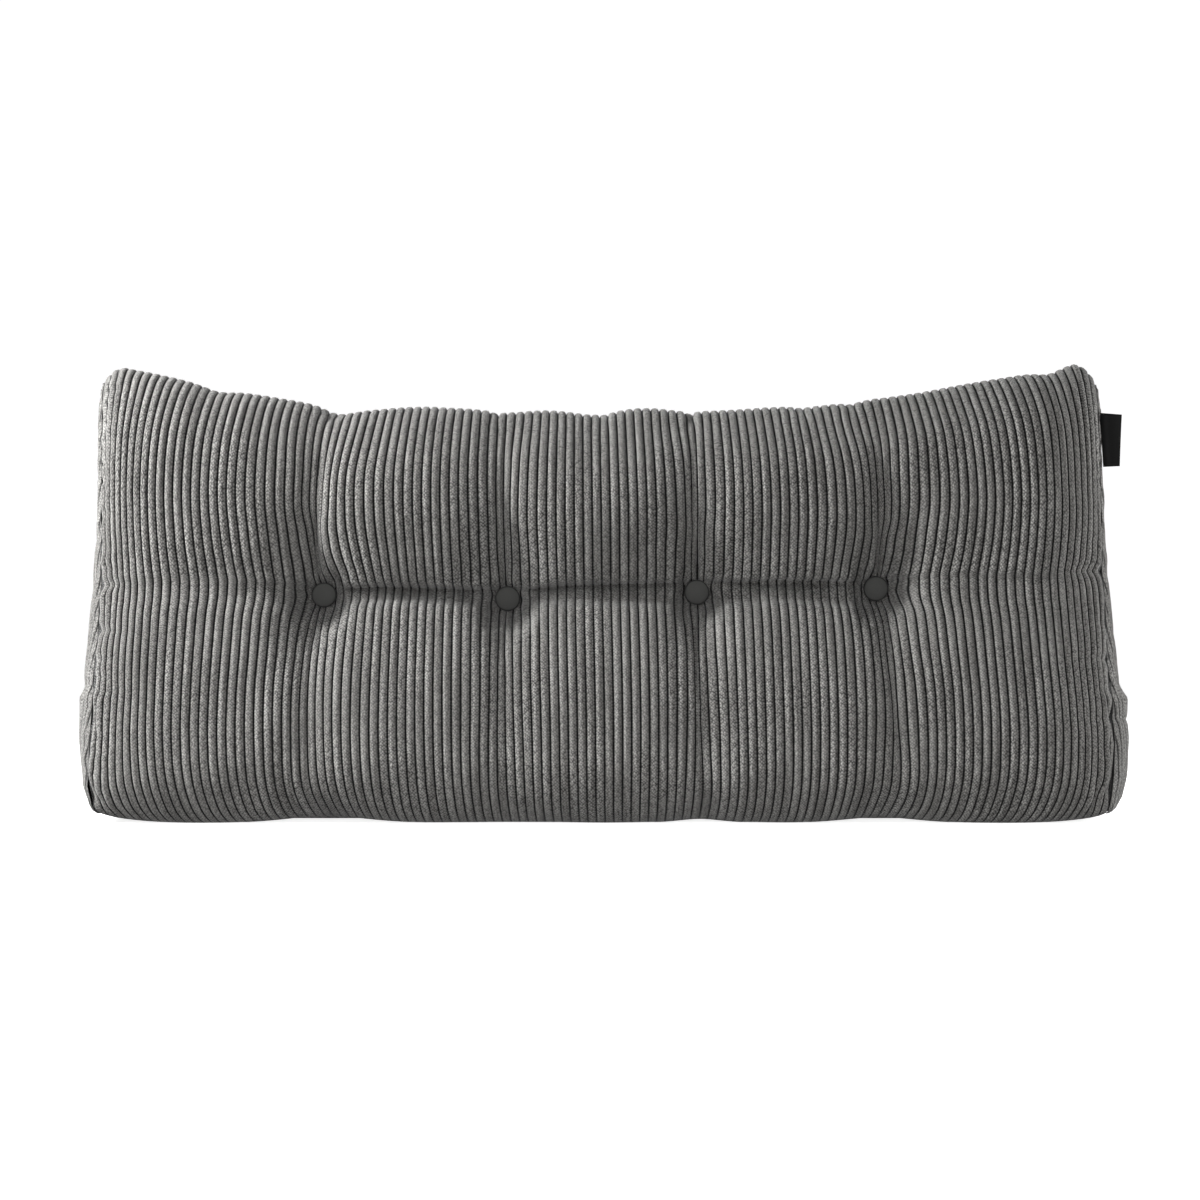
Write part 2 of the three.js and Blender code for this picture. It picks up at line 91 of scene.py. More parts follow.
# One row for each line that runs across the wrap, from the foot of the front over the top to the foot of
# the back. y z: halfway between two buttons. soft: outside the outer buttons. end: at the side seam. dip:
# how far a button draws the line in and up, and how far that spreads. pinch: how far it draws the wales
# beside it together. draw: how far the outer buttons draw in the cloth beyond them. span: width over the
# cloth's own. ear, rib, tuck: shares of the corners' rise, the wales' height and the tuck's rise. steps:
# mesh rows up to the next line.
LINE_WORDS = (
    "y z soft_y soft_z end_y end_z dip_y dip_z dip_width pinch draw span ear rib tuck steps".split()
)
LINE_ROWS = {
    "front_base": (-52, 0, -52, 0, -50, 9, 0, 0, 40, 0, 0, 0.93, 0, 0, 0, 2),
    "front_foot": (-84, 0, -84, 0, -82, 11, 4, 3, 45, 0, 0, 0.932, 0, 0, 0, 3),
    "bottom_roll": (-104, 12, -101, 12, -88, 26, 6, 4, 42, 0, 0, 0.95, 0, 0.9, 0, 5),
    "lower_front": (-116, 38, -112, 40, -86, 58, 6, 0, 40, 0, 0, 0.967, 0, 1, 0, 9),
    "lower_crown": (-108, 84, -105, 86, -77, 102, 8, 0, 38, 0, 0, 0.976, 0, 1, 0, 10),
    "lower_upper": (-96, 134, -93.5, 136, -62, 150, 7, 0, 30, 2, 0, 0.976, 0, 1, 0, 10),
    "lower_shoulder": (-78, 182, -81, 182, -48, 194, 12, 0, 27, 4, 3, 0.974, 0, 1, 0.1, 9),
    "lip": (-47, 228.5, -66, 223, -35, 229, 33, -1, 22, 6, 6, 0.972, 0, 1, 0.2, 4),
    "strip_edge": (-32, 238, -59.5, 238, -29, 244, 33, 0, 23, 7, 8, 0.97, 0, 0.6, 0.3, 3),
    "strip_back": (-25, 247, -56, 248, -26, 252, 30, 0, 24, 7, 9, 0.97, 0, 0.5, 0.7, 2),
    "tuck_root": (-17, 255, -53.2, 257, -24, 259, 22, 1, 24, 7, 9, 0.97, 0, 0.5, 1, 2),
    "under_hem": (-30, 256.5, -51.7, 263, -22.5, 265, 33, 1, 24, 7, 9, 0.97, 0, 0.8, 1, 3),
    "hem": (-39, 260.5, -50.5, 269, -20.5, 272, 40, 2, 24, 7, 8, 0.972, 0, 0.9, 1, 3),
    "hem_front": (-42, 271, -48.7, 281, -17, 286, 37, 3, 26, 6.5, 6, 0.975, 0, 1, 0.9, 4),
    "upper_low": (-45.3, 292, -46.3, 302, -10, 310, 24, 4, 30, 5, 3, 0.98, 0.05, 1, 0.6, 8),
    "upper_crown": (-46.5, 337, -36, 347, 5, 355, 12, 0, 34, 3, 0, 0.988, 0.3, 1, 0.1, 9),
    "upper_shoulder": (-31, 388, -18, 396, 24, 400, 8, 0, 38, 1, 0, 0.983, 0.7, 1, 0, 8),
    "top_front": (12, 434, 16, 436, 43, 438, 5, -2, 38, 0, 0, 0.967, 0.95, 1, 0, 6),
    "top_ridge": (46, 452, 48, 452, 62, 453, 0, 0, 34, 0, 0, 0.958, 1, 1, 0, 5),
    "top_back": (82, 445, 82, 445, 85, 446, 0, 0, 34, 0, 0, 0.96, 1, 1, 0, 6),
    "back_high": (105, 405, 103, 405, 96, 405, 0, 0, 40, 0, 0, 0.965, 0.9, 1, 0, 6),
    "back_upper": (114, 300, 111, 300, 99, 300, 0, 0, 40, 0, 0, 0.982, 0.3, 1, 0, 6),
    "back_lower": (115, 170, 112, 170, 100, 170, 0, 0, 40, 0, 0, 0.982, 0, 1, 0, 6),
    "back_low": (109, 50, 107, 50, 97, 54, 0, 0, 40, 0, 0, 0.965, 0, 1, 0, 5),
    "back_foot": (90, 0, 90, 0, 85, 11, 0, 0, 40, 0, 0, 0.935, 0, 0, 0, 3),
}
LINE_NAMES = list(LINE_ROWS)
LINES = dict(zip(LINE_WORDS, np.array(list(LINE_ROWS.values()), float).T))

# Middles of the four buttons, in x and z, and their places along the cloth, which is drawn in there
BUTTONS = {
    "button_far_left": (-308, 245, -326),
    "button_mid_left": (-106, 241, -109),
    "button_mid_right": (102, 248, 108),
    "button_far_right": (299, 252, 320),
}
BUTTON_RADIUS = 14
BUTTON_SEAT_Y = 2


def bump(offset):
    return np.exp(-offset * offset)


def smooth_step(value):
    share = np.clip(value, 0, 1)
    return share * share * (3 - 2 * share)


def closed_spline(values, knots, loop, at):
    """A smooth closed curve through the values, read at the places at. loop is its whole length."""
    count = len(values)
    here = np.searchsorted(knots, at, side="right") - 1
    place = [knots[(here + k) % count] + loop * ((here + k) // count) for k in (-1, 0, 1, 2)]
    value = [values[(here + k) % count] for k in (-1, 0, 1, 2)]
    wide = [(b - a).reshape((-1,) + (1,) * (values.ndim - 1)) for a, b in zip(place, place[1:])]
    slope = [(b - a) / w for a, b, w in zip(value, value[1:], wide)]
    start = (slope[0] * wide[1] + slope[1] * wide[0]) / (wide[0] + wide[1])
    end = (slope[1] * wide[2] + slope[2] * wide[1]) / (wide[1] + wide[2])
    t = (at - place[1]).reshape(wide[1].shape) / wide[1]
    return (
        value[1] * (2 * t**3 - 3 * t**2 + 1)
        + value[2] * (3 * t**2 - 2 * t**3)
        + wide[1] * (start * (t**3 - 2 * t**2 + t) + end * (t**3 - t**2))
    )


def top_rise(along):
    """Rise of the top edge towards its two corners, with its small sags."""
    far = np.abs(along)
    start, height, corner_drop = (np.where(along < 0, a, b) for a, b in zip(EARS["left"], EARS["right"]))
    climb = np.clip((far - start) / (EAR_PEAK - start), 0, 1)
    corner = np.clip((far - EAR_PEAK) / (HALF_CLOTH - EAR_PEAK), 0, 1)
    rise = height * climb - corner_drop * corner**2
    for place, drop, width in TOP_SAGS:
        rise = rise - drop * bump((along - place) / width)
    return rise


def lean_at(z):
    return LEAN * (z - LEAN_FROM) / (TOP_HEIGHT - LEAN_FROM)


def seam_x(side, y, z):
    """Distance of a side seam from the middle, with the places where the front is pulled in."""
    front = slice(LINE_NAMES.index("bottom_roll"), LINE_NAMES.index("top_ridge"))
    behind = np.maximum(y - np.interp(z, LINES["end_z"][front], LINES["end_y"][front]), 0)
    pull = sum(size * np.exp(-np.abs(z - height) / reach) for height, reach, size in SEAM_KINKS[side])
    return np.interp(z, *SEAM_LINES[side]) - pull * np.exp(-behind / KINK_DEPTH)


def smooth_cloth(at, along):
    """Points of the cloth without its wales: rows for the places round the loop, columns for along."""
    line = {word: closed_spline(LINES[word], KNOTS, LOOP, at)[:, None] for word in LINE_WORDS[:-1]}
    s = along[None, :]
    far = np.abs(s)
    soft = smooth_step((far - TUCK_END) / TUCK_FADE)
    edge = np.clip((far - EDGE_START) / (HALF_CLOTH - EDGE_START), 0, 1)
    rounded = 1 - (1 - edge**EDGE_GROWTH) ** EDGE_POWER

    def blended(middle, outside, end):
        return (middle + (outside - middle) * soft) * (1 - rounded) + end * rounded

    y = blended(line["y"], line["soft_y"], line["end_y"])
    z = blended(line["z"], line["soft_z"], line["end_z"])
    z = z + line["ear"] * top_rise(s)
    z = z + line["tuck"] * np.interp(s, TUCK_ALONG, TUCK_RISES) * (1 - rounded)
    x = s * line["span"]
    for _, _, button_along in BUTTONS.values():
        offset = (s - button_along) / line["dip_width"]
        near = np.exp(-np.abs(offset) ** DIP_POWER)
        y = y + line["dip_y"] * near
        z = z + line["dip_z"] * near
        x = x - line["pinch"] * offset * near
    x = x - np.sign(s) * line["draw"] * bump((far - DRAW_MIDDLE) / DRAW_REACH)
    squeeze = np.clip((far - SQUEEZE_START) / (HALF_CLOTH - SQUEEZE_START), 0, 1) ** 2
    seam = np.where(s < 0, seam_x(-1, y, z), seam_x(1, y, z))
    x = x - np.sign(s) * squeeze * (HALF_CLOTH * line["span"] - seam)
    return np.stack([x + lean_at(z), y, z], axis=-1)


def outward(points):
    """Unit normals of a grid whose rows close round the loop."""
    across = np.gradient(points, axis=1)
    along = np.roll(points, -1, axis=0) - np.roll(points, 1, axis=0)
    normal = np.cross(across, along)
    return normal / np.linalg.norm(normal, axis=-1, keepdims=True)


section = np.stack([LINES["y"], LINES["z"]], axis=1)
chords = np.linalg.norm(np.roll(section, -1, axis=0) - section, axis=1) ** 0.5
KNOTS = np.concatenate([[0], np.cumsum(chords)[:-1]])
LOOP = chords.sum()

row_places = np.concatenate(
    [
        start + length * np.arange(steps) / steps
        for start, length, steps in zip(KNOTS, chords, LINES["steps"].astype(int))
    ]
)
column_places = np.concatenate(
    [(wale + np.array(WALE_COLUMNS)) * WALE_PITCH - HALF_CLOTH for wale in range(WALES)] + [[HALF_CLOTH]]
)


def grid_faces(rows, columns, round_rows=False, round_columns=False):
    """Quads of a grid of points. Its last row, or its last column, may join the first."""
    steps = np.arange(rows - (not round_rows)), np.arange(columns - (not round_columns))
    row, column = np.meshgrid(*steps, indexing="ij")
    after = (row + 1) % rows * columns
    beside = (column + 1) % columns
    row = row * columns
    return np.stack((row + column, row + beside, after + beside, after + column), axis=-1).reshape(-1, 4)


def new_mesh(name, points_mm, faces):
    mesh = bpy.data.meshes.new(name)
    mesh.from_pydata((np.asarray(points_mm) * MM).tolist(), [], [list(map(int, face)) for face in faces])
    mesh.polygons.foreach_set("use_smooth", [True] * len(mesh.polygons))
    mesh.update()
    return mesh


def new_object(name, data):
    piece = bpy.data.objects.new(name, data)
    bpy.context.scene.collection.objects.link(piece)
    return piece


# The filling pushes the cloth out between its seams, its buttons and its base, which hold it.
INFLATE_FRAMES = 20
INFLATE_SHARE = 0.4  # the filling gives little, so only this share of the movement is kept
INFLATE_CAP = 2.5
INFLATE_BLUR = 3  # rows and wales over which the movement is evened out
HELD_RING = 8  # a button holds the cloth this far past its rim
HELD_FRONT = 40  # and only the cloth in front of this line, not the back
HELD_BASE = 3  # the floor holds it below this height
CLOTH_SETTINGS = {
    "quality": 5,
    "mass": 0.3,
    "tension_stiffness": 12,
    "compression_stiffness": 12,
    "shear_stiffness": 5,
    "bending_stiffness": 0.6,
    "use_pressure": True,
    "uniform_pressure_force": 4.0,
    "shrink_min": -0.012,  # the cloth is cut this share wider than the smooth shape
}


def inflate(points, at, along):
    """How far the pressed-out cloth moves from the given points, by Blender's cloth simulation."""
    rows, columns = points.shape[:2]
    mesh = new_mesh("wrap_cloth", points.reshape(-1, 3), grid_faces(rows, columns, round_rows=True))
    cloth_piece = new_object("wrap_cloth", mesh)
    far = np.abs(along)
    held = np.zeros((rows, columns), bool)
    held[:, :2] = held[:, -2:] = True
    held |= points[:, :, 2] < HELD_BASE
    root = LINE_NAMES.index("tuck_root")
    on_root = np.abs(at - KNOTS[root]) < chords[root] / 2
    held |= on_root[:, None] & (far < TUCK_END)[None, :]
    for x, z, _ in BUTTONS.values():
        away = np.hypot(points[:, :, 0] - x, points[:, :, 2] - z)
        held |= (away < BUTTON_RADIUS + HELD_RING) & (points[:, :, 1] < HELD_FRONT)
    group = cloth_piece.vertex_groups.new(name="held")
    group.add(np.flatnonzero(held.ravel()).tolist(), 1.0, "REPLACE")
    modifier = cloth_piece.modifiers.new("filling", "CLOTH")
    modifier.settings.vertex_group_mass = "held"
    for setting, value in CLOTH_SETTINGS.items():
        setattr(modifier.settings, setting, value)
    modifier.settings.effector_weights.gravity = 0
    modifier.collision_settings.use_collision = False
    for number in range(1, INFLATE_FRAMES + 1):
        bpy.context.scene.frame_set(number)
    shaped = cloth_piece.evaluated_get(bpy.context.evaluated_depsgraph_get()).data
    moved = np.zeros(rows * columns * 3, np.float32)
    shaped.vertices.foreach_get("co", moved)
    bpy.context.scene.frame_set(1)
    bpy.data.objects.remove(cloth_piece)
    shift = (moved.reshape(rows, columns, 3) / MM - points) * INFLATE_SHARE
    for _ in range(INFLATE_BLUR):
        shift[:, 1:-1] = (shift[:, :-2] + 2 * shift[:, 1:-1] + shift[:, 2:]) / 4
        shift = (np.roll(shift, 1, axis=0) + 2 * shift + np.roll(shift, -1, axis=0)) / 4
    size = np.linalg.norm(shift, axis=-1, keepdims=True)
    return shift * np.minimum(1, INFLATE_CAP / np.maximum(size, 1e-6))


wrap_points = smooth_cloth(row_places, column_places)
wale_places = np.arange(WALES + 1) * WALE_PITCH - HALF_CLOTH
shift = inflate(smooth_cloth(row_places, wale_places), row_places, wale_places)
closing = np.swapaxes(shift[:, :-1], 0, 1)
shift = closed_spline(closing, wale_places[:-1], 2 * HALF_CLOTH, column_places[:-1])
shift = np.concatenate([np.swapaxes(shift, 0, 1), np.zeros((len(row_places), 1, 3))], axis=1)
wrap_points = wrap_points + shift

# Folds that the filling and the buttons leave in the front: from one place to another in x and z, reach
# to the left and the right, and depth. A short reach makes a crease.
FRONT_FOLDS = (
    ((-313, 258), (-307, 446), 32, 7, 11),
    ((-309, 262), (-318, 345), 12, 7, 6),
    ((-106, 262), (-110, 448), 16, 10, 4),
    ((93, 258), (99, 452), 12, 4, 5.5),
    ((104, 262), (104, 340), 10, 12, 2.5),
    ((303, 260), (296, 440), 13, 26, 8),
    ((298, 262), (306, 330), 7, 11, 5),
    ((-106, 224), (-114, 60), 12, 16, 2),
    ((-110, 226), (-112, 165), 7, 6, 2),
    ((98, 230), (103, 30), 4.5, 9, 5),
    ((102, 232), (102, 160), 13, 13, 2.5),
    ((-308, 226), (-318, 20), 24, 18, 2.5),
    ((-308, 228), (-312, 190), 9, 8, 2),
    ((299, 234), (314, 40), 9, 14, 3.5),
    ((308, 180), (316, 60), 5, 7, 3),
    ((-548, 138), (-550, 94), 5, 3, 4),
    ((-557, 66), (-544, 12), 3, 6, 4.5),
    ((-544, 40), (-530, 10), 4, 5, 3),
    ((542, 128), (546, 80), 3, 4, 4),
    ((546, 84), (538, 22), 3, 5, 4.5),
    ((530, 44), (520, 12), 4, 4, 3),
)
FOLD_DRAW = 0.7  # how far a fold draws in the wales beside it, over its depth
FOLD_DRAW_REACH = 1.6  # over the fold's own reach
FOLD_START = 0.05  # a fold starts this share of its length before its first place
FOLD_TAPER = 0.4  # it fades in and out over this share of its length
FOLD_POWER = 1.4  # 2 would give a round hollow, and 1 a sharp crease


def fold_depth(points, folds):
    """Depth of all the folds at each point of the front, and how far they draw the wales in."""
    depth = np.zeros(points.shape[:2])
    drawn = np.zeros(points.shape[:2])
    x, z = points[:, :, 0], points[:, :, 2]
    for (x0, z0), (x1, z1), left, right, deep in folds:
        length = math.hypot(x1 - x0, z1 - z0)
        ux, uz = (x1 - x0) / length, (z1 - z0) / length
        share = ((x - x0) * ux + (z - z0) * uz) / length
        aside = ((x - x0) * uz - (z - z0) * ux) * np.sign(uz)
        taper = smooth_step((share + FOLD_START) / FOLD_TAPER) * smooth_step((1 - share) / FOLD_TAPER)
        depth += deep * taper * np.exp(-np.abs(aside / np.where(aside < 0, left, right)) ** FOLD_POWER)
        aside = aside / max(left, right)
        drawn -= FOLD_DRAW * deep * taper * aside * bump(aside / FOLD_DRAW_REACH)
    return depth, drawn


def ripple(a, b, lengths, seed, waves=7):
    """Gentle, uneven waves over two coordinates, about 1 high, between the two given lengths."""
    draw = np.random.default_rng(seed)
    total = np.zeros(np.broadcast(a, b).shape)
    for _ in range(waves):
        length = draw.uniform(*lengths)
        turn = draw.uniform(0, 2 * math.pi)
        phase = draw.uniform(0, 2 * math.pi)
        total += np.cos(2 * math.pi * (a * math.cos(turn) + b * math.sin(turn)) / length + phase)
    return total / math.sqrt(waves)


FRONT_FADE = 3  # the front's folds fade out over this much of the loop below the top edge
BASE_FADE = 25  # and over this height above the floor
SEAM_HOLD = 6  # the seams hold the wales beside them in place over this distance
LUMP_HEIGHT = 1.1  # the filling's soft lumps
LUMP_LENGTHS = (90, 240)
LUMP_STRETCH = 9  # millimetres for each step of the loop, roughly
LUMP_INSET = 60
WANDER = 0.6  # the wales stray this far to the side
WANDER_LENGTHS = (90, 260)
WANDER_INSET = 40
RIM_GAP = 1.6  # the cloth is pressed back this far past a button's rim, and rises from there
RIM_DEPTH = 1.5
RIM_SLOPE = 2.2
PLEATS = 7  # gathers round a button
PLEAT_DEPTH = 1.0
PLEAT_MIDDLE = 6  # they are deepest this far past its rim
PLEAT_REACH = 13

# The side seams are gathered: height of each pinch, its reach up and down and across, and its depth
SEAM_PINCHES = {
    -1: (
        (300, 6, 16, 2.0), (256, 9, 24, 2.0), (206, 7, 18, 2.4), (168, 6, 14, 1.6),
        (150, 9, 26, 2.6), (104, 12, 14, 2.4), (34, 10, 18, 2.4),
    ),
    1: (
        (352, 6, 12, 1.2), (272, 9, 24, 1.8), (216, 6, 16, 1.6), (176, 6, 16, 2.0),
        (146, 8, 18, 2.4), (112, 9, 14, 2.0), (34, 10, 16, 2.6),
    ),
}
# Where the sewing pinches the top edge: place along it, width and depth
TOP_PINCHES = (
    (-306, 5, 6), (-298, 14, 4), (-119, 5, 5), (1, 7, 3),
    (96, 4, 7), (217, 8, 4), (275, 9, 5),
)
TOP_PINCH_REACH = 3.2  # how much of the loop a pinch covers
TOP_PINCH_SHIFT = 1  # its middle lies this much of the loop before the ridge
TOP_PINCH_DRAW = 0.5
# Where the front's lower edge lifts off the floor, or sinks to it: place, width and rise
FOOT_LIFTS = ((-298, 62, 6), (-104, 40, -2), (104, 30, 2.5), (297, 55, 4.5))
LIFT_BACK = 8  # behind this line, from front to back, the base stays flat on the floor
LIFT_FADE = 60
LIFT_HEIGHT = 34
# The tuck bends the outer wales inwards: height, reach up and down, distance from the seam, reach across
# and how far
WALE_KINKS = {
    -1: ((256, 10, 16, 26, 1.8), (206, 6, 6, 14, 1.6), (176, 6, 6, 12, 1.4)),
    1: ((271, 9, 24, 24, 4.8), (160, 6, 6, 12, 1.6), (142, 6, 6, 12, 1.8)),
}
GATHER_REACH = 24
GATHER_DEPTH = 0.8
GATHER_SWAY = 0.4  # how far the gathers push the wales aside
GATHER_LENGTHS = (13, 40)
GATHER_STRETCH = 0.4


def shape_front(points, at, along):
    """Folds, lumps, gathers and pleats, laid on the smooth cloth along its normals."""
    normal = outward(points)
    top_row = KNOTS[LINE_NAMES.index("top_ridge")]
    on_front = ((at < top_row) * smooth_step((top_row - at) / FRONT_FADE))[:, None]
    above_base = smooth_step(points[:, :, 2] / BASE_FADE)
    s = along[None, :]
    t = at[:, None]
    x, y, z = points[:, :, 0], points[:, :, 1], points[:, :, 2]
    inset = HALF_CLOTH - np.abs(s)
    fold, drawn = fold_depth(points, FRONT_FOLDS)
    lumps = ripple(s, t * LUMP_STRETCH, LUMP_LENGTHS, seed=3)
    depth = LUMP_HEIGHT * lumps * smooth_step(inset / LUMP_INSET)
    for side, pinches in SEAM_PINCHES.items():
        mine = s * side > 0
        for height, reach, across, deep in pinches:
            depth += mine * deep * bump((z - height) / reach) * bump(inset / across) * (inset > 0)
    gather = ripple(z, y * GATHER_STRETCH, GATHER_LENGTHS, seed=11)
    depth += GATHER_DEPTH * gather * bump(inset / GATHER_REACH)
    for button_x, button_z, _ in BUTTONS.values():
        away = np.hypot(x - button_x, z - button_z)
        turn = np.arctan2(z - button_z, x - button_x)
        near = bump((away - BUTTON_RADIUS - PLEAT_MIDDLE) / PLEAT_REACH)
        depth += on_front * PLEAT_DEPTH * np.cos(PLEATS * turn + button_x) * near
    over_top = bump((t - top_row + TOP_PINCH_SHIFT) / TOP_PINCH_REACH)
    for place, width, deep in TOP_PINCHES:
        aside = (x - place) / width
        depth += deep * over_top * np.exp(-np.abs(aside) ** FOLD_POWER)
        drawn -= TOP_PINCH_DRAW * deep * over_top * aside * bump(aside / FOLD_DRAW_REACH)
    shaped = points - normal * (depth * above_base)[:, :, None]
    shaped[:, :, 1] += on_front * fold
    shaped[:, :, 0] += on_front * drawn
    free = smooth_step(inset / SEAM_HOLD)
    stray = WANDER * ripple(s, z, WANDER_LENGTHS, seed=5) * smooth_step(inset / WANDER_INSET)
    stray = stray + GATHER_SWAY * gather * bump(inset / GATHER_REACH) * free
    for side, kinks in WALE_KINKS.items():
        for height, reach, place, across, pull in kinks:
            bent = np.exp(-np.abs((z - height) / reach) ** FOLD_POWER) * bump((inset - place) / across)
            stray = stray - (s * side > 0) * on_front * side * pull * bent * free
    shaped[:, :, 0] += stray * above_base
    for button_x, button_z, _ in BUTTONS.values():
        away = np.hypot(shaped[:, :, 0] - button_x, shaped[:, :, 2] - button_z)
        past_rim = np.maximum(away - BUTTON_RADIUS - RIM_GAP, 0)
        floor_y = BUTTON_SEAT_Y + RIM_DEPTH - RIM_SLOPE * past_rim
        shaped[:, :, 1] = np.where(on_front > 0, np.maximum(shaped[:, :, 1], floor_y), shaped[:, :, 1])
    forward = on_front * smooth_step((LIFT_BACK - y) / LIFT_FADE) * bump(z / LIFT_HEIGHT)
    for place, width, rise in FOOT_LIFTS:
        shaped[:, :, 2] += forward * rise * bump((x - place) / width)
    resting = (z <= 0.01) & (y > LIFT_BACK)
    shaped[:, :, 2] = np.where(resting, 0, np.maximum(shaped[:, :, 2], 0))
    return shaped


wrap_points = shape_front(wrap_points, row_places, column_places)

# The filled body closes under the side panels, pushed out a little less than they are.
PANEL_HEIGHTS = (4, 14, 26, 44, 90, 131, 140, 150, 180, 220, 270, 330, 390, 440, 480)
BULGE_POWER = 0.8  # the filling pushes the panel out in a low arch from front to back
PANEL_BULGES = {
    -1: (0, 6, 10, 13, 21, 22, 18.5, 17.5, 17.5, 16, 13, 7.5, 6.5, 5.5, 1),
    1: (0, 16, 21, 24, 25, 25, 20.5, 18, 17, 13.5, 10, 5, 3.5, 2.5, 1),
}
# Creases that run from the front seam across a panel: height, reach up and down, depth (below 0: a bump)
PANEL_CREASES = {
    -1: ((146, 5, 2.4), (134, 4, -1.4), (252, 7, 1.6), (306, 6, 1.2)),
    1: ((147, 5, 2.2), (134, 6, -1.2), (109, 5, 3.0), (268, 7, 1.8), (203, 6, 1.4)),
}
CREASE_END = 0.8  # they end here, counted from -1 at the front seam to 1 at the back one
CAP_RINGS = (0.96, 0.85, 0.65, 0.4, 0.15)  # the mesh rings that close a side, as shares of its outline
CAP_INSET = 3


def side_outline(points, side):
    """The side seam's line, as y and z, once round the loop."""
    return points[:, -1 if side > 0 else 0, 1:]


def depth_at(outline, z):
    """Front and back of a side's outline at the heights z."""
    top = int(np.argmax(outline[:, 1]))
    front_z = np.maximum.accumulate(outline[: top + 1, 1])
    back = outline[top:][::-1]
    back_z = np.maximum.accumulate(back[:, 1])
    return np.interp(z, front_z, outline[: top + 1, 0]), np.interp(z, back_z, back[:, 0])


def panel_bulge(side, y, z, outline):
    """How far the filling pushes a side out at each place, with the panel's creases."""
    front, back = depth_at(outline, z)
    width = np.maximum(back - front, 1e-3)
    across = np.clip((2 * y - front - back) / width, -1, 1)
    arch = 1 - across**2
    bulge = arch**BULGE_POWER * np.interp(z, PANEL_HEIGHTS, PANEL_BULGES[side])
    for height, reach, deep in PANEL_CREASES[side]:
        creased = np.exp(-np.abs(z - height) / reach) * arch * smooth_step(CREASE_END - across)
        bulge = bulge - deep * creased
    return bulge


rows, columns = wrap_points.shape[:2]
points = [wrap_points.reshape(-1, 3)]
faces = [grid_faces(rows, columns, round_rows=True)]
total = rows * columns
for side in (-1, 1):
    outline = side_outline(wrap_points, side)
    middle = outline.mean(axis=0)
    before = np.arange(rows) * columns + (columns - 1 if side > 0 else 0)
    for share in CAP_RINGS:
        ring = middle + (outline - middle) * share
        face_x = seam_x(side, *ring.T) + panel_bulge(side, *ring.T, outline) - CAP_INSET
        ring_x = side * face_x + lean_at(ring[:, 1])
        here = total + np.arange(rows)
        points.append(np.column_stack([ring_x, ring]))
        loop = (before, here, np.roll(here, -1), np.roll(before, -1))
        faces.append(np.stack(loop if side > 0 else loop[::-1], axis=1))
        total += rows
        before = here
    hub_x = side * (seam_x(side, *middle) + panel_bulge(side, *middle, outline) - CAP_INSET)
    points.append(np.array([[hub_x + lean_at(middle[1]), *middle]]))
    hub = np.full(rows, total)
    fan = (before, hub, np.roll(before, -1))
    faces.append(np.stack(fan if side > 0 else fan[::-1], axis=1))
    total += 1
faces = [face for block in faces for face in block]
smooth_mesh = new_mesh("cushion_wrap_smooth", np.concatenate(points), faces)

# The cloth's own measure for the wales and the pile: u runs across the wales and v along them, in metres
middle_line = wrap_points[:, columns // 2]
row_arc = np.concatenate([[0], np.cumsum(np.linalg.norm(np.diff(middle_line, axis=0), axis=1))])
loop_arc = row_arc[-1] + np.linalg.norm(middle_line[0] - middle_line[-1])


def add_attribute(mesh, name, values):
    mesh.attributes.new(name, "FLOAT", "POINT").data.foreach_set("value", values.astype(np.float32))


def read_numbers(items, name):
    numbers = np.zeros(len(items), np.int32)
    items.foreach_get(name, numbers)
    return numbers


def give_cloth_measure(mesh, across, along, rib, loop_arc=None):
    """Writes the UV map named cloth, and the attributes that raise the wales. A face that closes the
    loop carries on past its end."""
    add_attribute(mesh, "across", across)
    add_attribute(mesh, "rib", rib)
    corner = read_numbers(mesh.loops, "vertex_index")
    u = across[corner]
    v = along[corner]
    if loop_arc:
        widest = np.maximum.reduceat(v, read_numbers(mesh.polygons, "loop_start"))
        widest = np.repeat(widest, read_numbers(mesh.polygons, "loop_total"))
        v = np.where(widest - v > loop_arc / 2, v + loop_arc, v)
    layer = mesh.uv_layers.new(name="cloth")
    layer.data.foreach_set("uv", (np.stack([u, v], axis=1) * MM).astype(np.float32).ravel())


# The wales are whole, but flat in the tuck, on the base and at the seams
RIB_SEAM_FADE = 4
cap_points = total - rows * columns
across = np.concatenate([np.tile(column_places, rows), np.full(cap_points, HALF_CLOTH)])
along = np.concatenate([np.repeat(row_arc, columns), np.zeros(cap_points)])
rib_share = np.clip(closed_spline(LINES["rib"], KNOTS, LOOP, row_places), 0, 1)[:, None]
above_foot = (row_places > KNOTS[LINE_NAMES.index("lower_front")]) & (row_places < KNOTS[-2])
past_tuck = smooth_step((np.abs(column_places) - TUCK_END) / TUCK_FADE) * above_foot[:, None]
rib_share = rib_share + (1 - rib_share) * past_tuck
to_seam = smooth_step((HALF_CLOTH - np.abs(column_places)) / RIB_SEAM_FADE)
rib = np.concatenate([(rib_share * to_seam).ravel(), np.zeros(cap_points)])
give_cloth_measure(smooth_mesh, across, along, rib, loop_arc)


def add_node(tree, kind, inputs=(), **settings):
    """A node with its settings. Each input gets a value, or a link from the output of another node."""
    node = tree.nodes.new(kind)
    for setting, value in settings.items():
        setattr(node, setting, value)
    for key, value in dict(inputs).items():
        if isinstance(value, (int, float, str, tuple)):
            node.inputs[key].default_value = value
        else:
            tree.links.new(value, node.inputs[key])
    return node


def math_node(tree, operation, *values):
    return add_node(tree, "ShaderNodeMath", enumerate(values), operation=operation).outputs[0]


def colour_mix(tree, share, a, b, blend="MIX"):
    inputs = {0: share, 6: a, 7: b}
    return add_node(tree, "ShaderNodeMix", inputs, data_type="RGBA", blend_type=blend).outputs[2]


